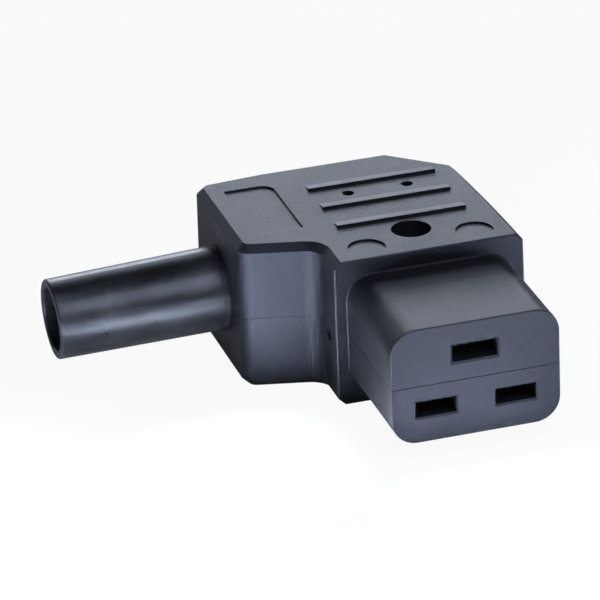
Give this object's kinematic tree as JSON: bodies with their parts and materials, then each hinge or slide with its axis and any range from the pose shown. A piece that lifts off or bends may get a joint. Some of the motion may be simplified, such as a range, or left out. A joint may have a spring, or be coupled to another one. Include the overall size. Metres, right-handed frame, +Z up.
{
  "type": "c19 power connector",
  "caption": "Rewireable right-angle C19 appliance connector: two moulded half shells, a three-slot nose, a grip-ribbed top with a screw well and a soft tapered cable sleeve.",
  "frame": {"origin": "centre of the mating face at the front of the nose, on the plane where the two shells meet", "axes": "+Y runs from the nose into the housing, so the nose points to -Y; +X is the side away from the cable; +Z is up, through the face with the screw well"},
  "size_m": [0.0717, 0.0602, 0.0252],
  "materials": {
    "upper_shell_plastic": "fine matt moulded, blue-black",
    "lower_shell_plastic": "fine matt moulded, blue-black",
    "sleeve_rubber": "satin, streaked along its length",
    "carrier_plastic": "matt moulded",
    "clamp_plastic": "matt moulded",
    "zinc_steel": "bright zinc plate",
    "spring_steel": "bright strip",
    "contact_brass": "bright rolled strip",
    "brass_bush": "turned"
  },
  "bodies": {
    "root": {"upper_shell": "upper_shell_plastic", "lower_shell": "lower_shell_plastic", "cable_sleeve": "sleeve_rubber", "contact_carrier": "carrier_plastic", "cord_clamp": "clamp_plastic", "cord_clamp_screw_front": "zinc_steel", "cord_clamp_screw_back": "zinc_steel", "housing_screw": "zinc_steel", "screw_insert": "brass_bush", "line_contact": "contact_brass", "line_contact_spring": "spring_steel", "line_clamp_washer": "zinc_steel", "line_terminal_screw": "zinc_steel", "neutral_contact": "contact_brass", "neutral_contact_spring": "spring_steel", "neutral_clamp_washer": "zinc_steel", "neutral_terminal_screw": "zinc_steel", "earth_contact": "contact_brass", "earth_contact_spring": "spring_steel", "earth_clamp_washer": "zinc_steel", "earth_terminal_screw": "zinc_steel"}
  },
  "joints": []
}
